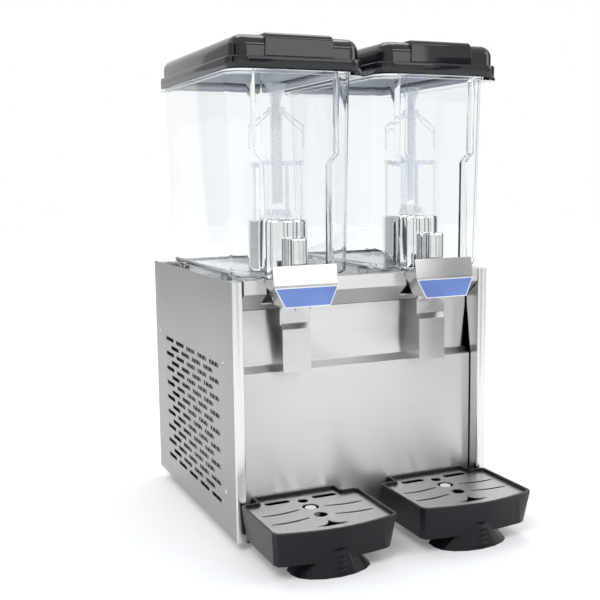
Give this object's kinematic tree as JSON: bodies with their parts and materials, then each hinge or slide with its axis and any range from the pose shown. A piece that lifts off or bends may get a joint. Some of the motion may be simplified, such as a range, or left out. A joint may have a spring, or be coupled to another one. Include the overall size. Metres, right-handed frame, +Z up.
{
  "type": "juice dispenser",
  "caption": "Counter-top chilled juice dispenser: clear lidded tanks side by side on a vented steel body, with push-lever taps and pull-out drip trays.",
  "frame": {"origin": "centre of the overall footprint, on the counter", "axes": "+Z up, taps and drip trays towards -Y, the tanks side by side along X"},
  "size_m": [0.44, 0.568, 0.745],
  "materials": {
    "brushed_steel": "brushed",
    "polished_steel": "polished",
    "gloss_black_plastic": "gloss",
    "charcoal_plastic": "satin",
    "black_rubber": "matt",
    "clear_plastic": "clear gloss",
    "frosted_plastic": "clear satin",
    "blue_plaque": "satin",
    "white_plastic": "satin",
    "grey_silicone": "matt",
    "black_paint": "satin",
    "aluminium_fins": "raw",
    "copper": "drawn"
  },
  "bodies": {
    "body": {"side_panel_left": "brushed_steel", "side_panel_right": "brushed_steel", "front_panel": "brushed_steel", "top_deck": "brushed_steel", "base_pan": "brushed_steel", "rear_panel": "brushed_steel", "foot_front_left": "black_rubber", "foot_front_right": "black_rubber", "foot_rear_left": "black_rubber", "foot_rear_right": "black_rubber", "cord_gland": "black_rubber", "compressor": "black_paint", "condenser": "aluminium_fins", "fan_motor": "black_paint", "filter_drier": "copper", "discharge_pipe": "copper", "drum_left": "polished_steel", "tank_gasket_left": "grey_silicone", "pump_motor_left": "black_paint", "tap_housing_left": "brushed_steel", "plaque_left": "blue_plaque", "lever_pin_left": "brushed_steel", "drum_right": "polished_steel", "tank_gasket_right": "grey_silicone", "pump_motor_right": "black_paint", "tap_housing_right": "brushed_steel", "plaque_right": "blue_plaque", "lever_pin_right": "brushed_steel"},
    "fan": {"condenser_fan": "gloss_black_plastic"},
    "switch_cooling": {"switch_cooling": "gloss_black_plastic"},
    "switch_pump_left": {"switch_pump_left": "gloss_black_plastic"},
    "switch_pump_right": {"switch_pump_right": "gloss_black_plastic"},
    "thermostat": {"thermostat_knob": "gloss_black_plastic"},
    "tank_left": {"tank_left": "clear_plastic", "valve_sleeve_left": "polished_steel", "nozzle_left": "white_plastic", "valve_spring_left": "brushed_steel"},
    "lid_left": {"lid_left": "gloss_black_plastic"},
    "tower_left": {"spray_tower_left": "frosted_plastic"},
    "impeller_left": {"impeller_left": "white_plastic", "drive_magnet_left": "black_paint"},
    "plunger_left": {"valve_plunger_left": "white_plastic"},
    "lever_left": {"lever_left": "brushed_steel"},
    "tray_left": {"drip_tray_left": "charcoal_plastic"},
    "grille_left": {"grille_left": "brushed_steel"},
    "float_left": {"tray_float_left": "white_plastic"},
    "tank_right": {"tank_right": "clear_plastic", "valve_sleeve_right": "polished_steel", "nozzle_right": "white_plastic", "valve_spring_right": "brushed_steel"},
    "lid_right": {"lid_right": "gloss_black_plastic"},
    "tower_right": {"spray_tower_right": "frosted_plastic"},
    "impeller_right": {"impeller_right": "white_plastic", "drive_magnet_right": "black_paint"},
    "plunger_right": {"valve_plunger_right": "white_plastic"},
    "lever_right": {"lever_right": "brushed_steel"},
    "tray_right": {"drip_tray_right": "charcoal_plastic"},
    "grille_right": {"grille_right": "brushed_steel"},
    "float_right": {"tray_float_right": "white_plastic"}
  },
  "joints": [
    {"name": "fan_spin", "type": "hinge", "parent": "body", "child": "fan", "pos_m": [-0.145, 0.079, 0.1545], "axis": [1, 0, 0], "continuous": true},
    {"name": "rocker_cooling", "type": "hinge", "parent": "body", "child": "switch_cooling", "pos_m": [-0.12, 0.269, 0.325], "axis": [1, 0, 0], "range_deg": [-8, 0]},
    {"name": "rocker_pump_left", "type": "hinge", "parent": "body", "child": "switch_pump_left", "pos_m": [-0.075, 0.269, 0.325], "axis": [1, 0, 0], "range_deg": [-8, 0]},
    {"name": "rocker_pump_right", "type": "hinge", "parent": "body", "child": "switch_pump_right", "pos_m": [-0.03, 0.269, 0.325], "axis": [1, 0, 0], "range_deg": [-8, 0]},
    {"name": "thermostat_turn", "type": "hinge", "parent": "body", "child": "thermostat", "pos_m": [0.08, 0.2708, 0.325], "axis": [0, 1, 0], "range_deg": [0, 270]},
    {"name": "tank_lift_left", "type": "slide", "parent": "body", "child": "tank_left", "axis": [0, 0, 1], "range_m": [0, 0.32]},
    {"name": "lid_lift_left", "type": "slide", "parent": "tank_left", "child": "lid_left", "axis": [0, 0, 1], "range_m": [0, 0.08]},
    {"name": "tower_lift_left", "type": "slide", "parent": "body", "child": "tower_left", "axis": [0, 0, 1], "range_m": [0, 0.04]},
    {"name": "impeller_spin_left", "type": "hinge", "parent": "body", "child": "impeller_left", "pos_m": [-0.115, -0.064, 0.486], "axis": [0, 0, 1], "continuous": true},
    {"name": "lever_push_left", "type": "hinge", "parent": "body", "child": "lever_left", "pos_m": [-0.115, -0.1425, 0.38], "axis": [1, 0, 0], "range_deg": [0, 9], "stiffness_Nm_per_rad": 0.6, "springref_deg": -3.44},
    {"name": "valve_lift_left", "type": "slide", "parent": "tank_left", "child": "plunger_left", "axis": [0, 0, 1], "range_m": [0, 0.0018], "deforming": ["valve_spring_left"]},
    {"name": "tray_pull_left", "type": "slide", "parent": "body", "child": "tray_left", "axis": [0, -1, 0], "range_m": [0, 0.12]},
    {"name": "grille_lift_left", "type": "slide", "parent": "tray_left", "child": "grille_left", "axis": [0, 0, 1], "range_m": [0, 0.05]},
    {"name": "float_rise_left", "type": "slide", "parent": "tray_left", "child": "float_left", "axis": [0, 0, 1], "range_m": [0, 0.007]},
    {"name": "tank_lift_right", "type": "slide", "parent": "body", "child": "tank_right", "axis": [0, 0, 1], "range_m": [0, 0.32]},
    {"name": "lid_lift_right", "type": "slide", "parent": "tank_right", "child": "lid_right", "axis": [0, 0, 1], "range_m": [0, 0.08]},
    {"name": "tower_lift_right", "type": "slide", "parent": "body", "child": "tower_right", "axis": [0, 0, 1], "range_m": [0, 0.04]},
    {"name": "impeller_spin_right", "type": "hinge", "parent": "body", "child": "impeller_right", "pos_m": [0.115, -0.064, 0.486], "axis": [0, 0, 1], "continuous": true},
    {"name": "lever_push_right", "type": "hinge", "parent": "body", "child": "lever_right", "pos_m": [0.115, -0.1425, 0.38], "axis": [1, 0, 0], "range_deg": [0, 9], "stiffness_Nm_per_rad": 0.6, "springref_deg": -3.44},
    {"name": "valve_lift_right", "type": "slide", "parent": "tank_right", "child": "plunger_right", "axis": [0, 0, 1], "range_m": [0, 0.0018], "deforming": ["valve_spring_right"]},
    {"name": "tray_pull_right", "type": "slide", "parent": "body", "child": "tray_right", "axis": [0, -1, 0], "range_m": [0, 0.12]},
    {"name": "grille_lift_right", "type": "slide", "parent": "tray_right", "child": "grille_right", "axis": [0, 0, 1], "range_m": [0, 0.05]},
    {"name": "float_rise_right", "type": "slide", "parent": "tray_right", "child": "float_right", "axis": [0, 0, 1], "range_m": [0, 0.007]}
  ],
  "couplings": [
    {"joint": "valve_lift_left", "follows": "lever_push_left", "m_per_rad": 0.0098},
    {"joint": "valve_lift_right", "follows": "lever_push_right", "m_per_rad": 0.0098}
  ]
}
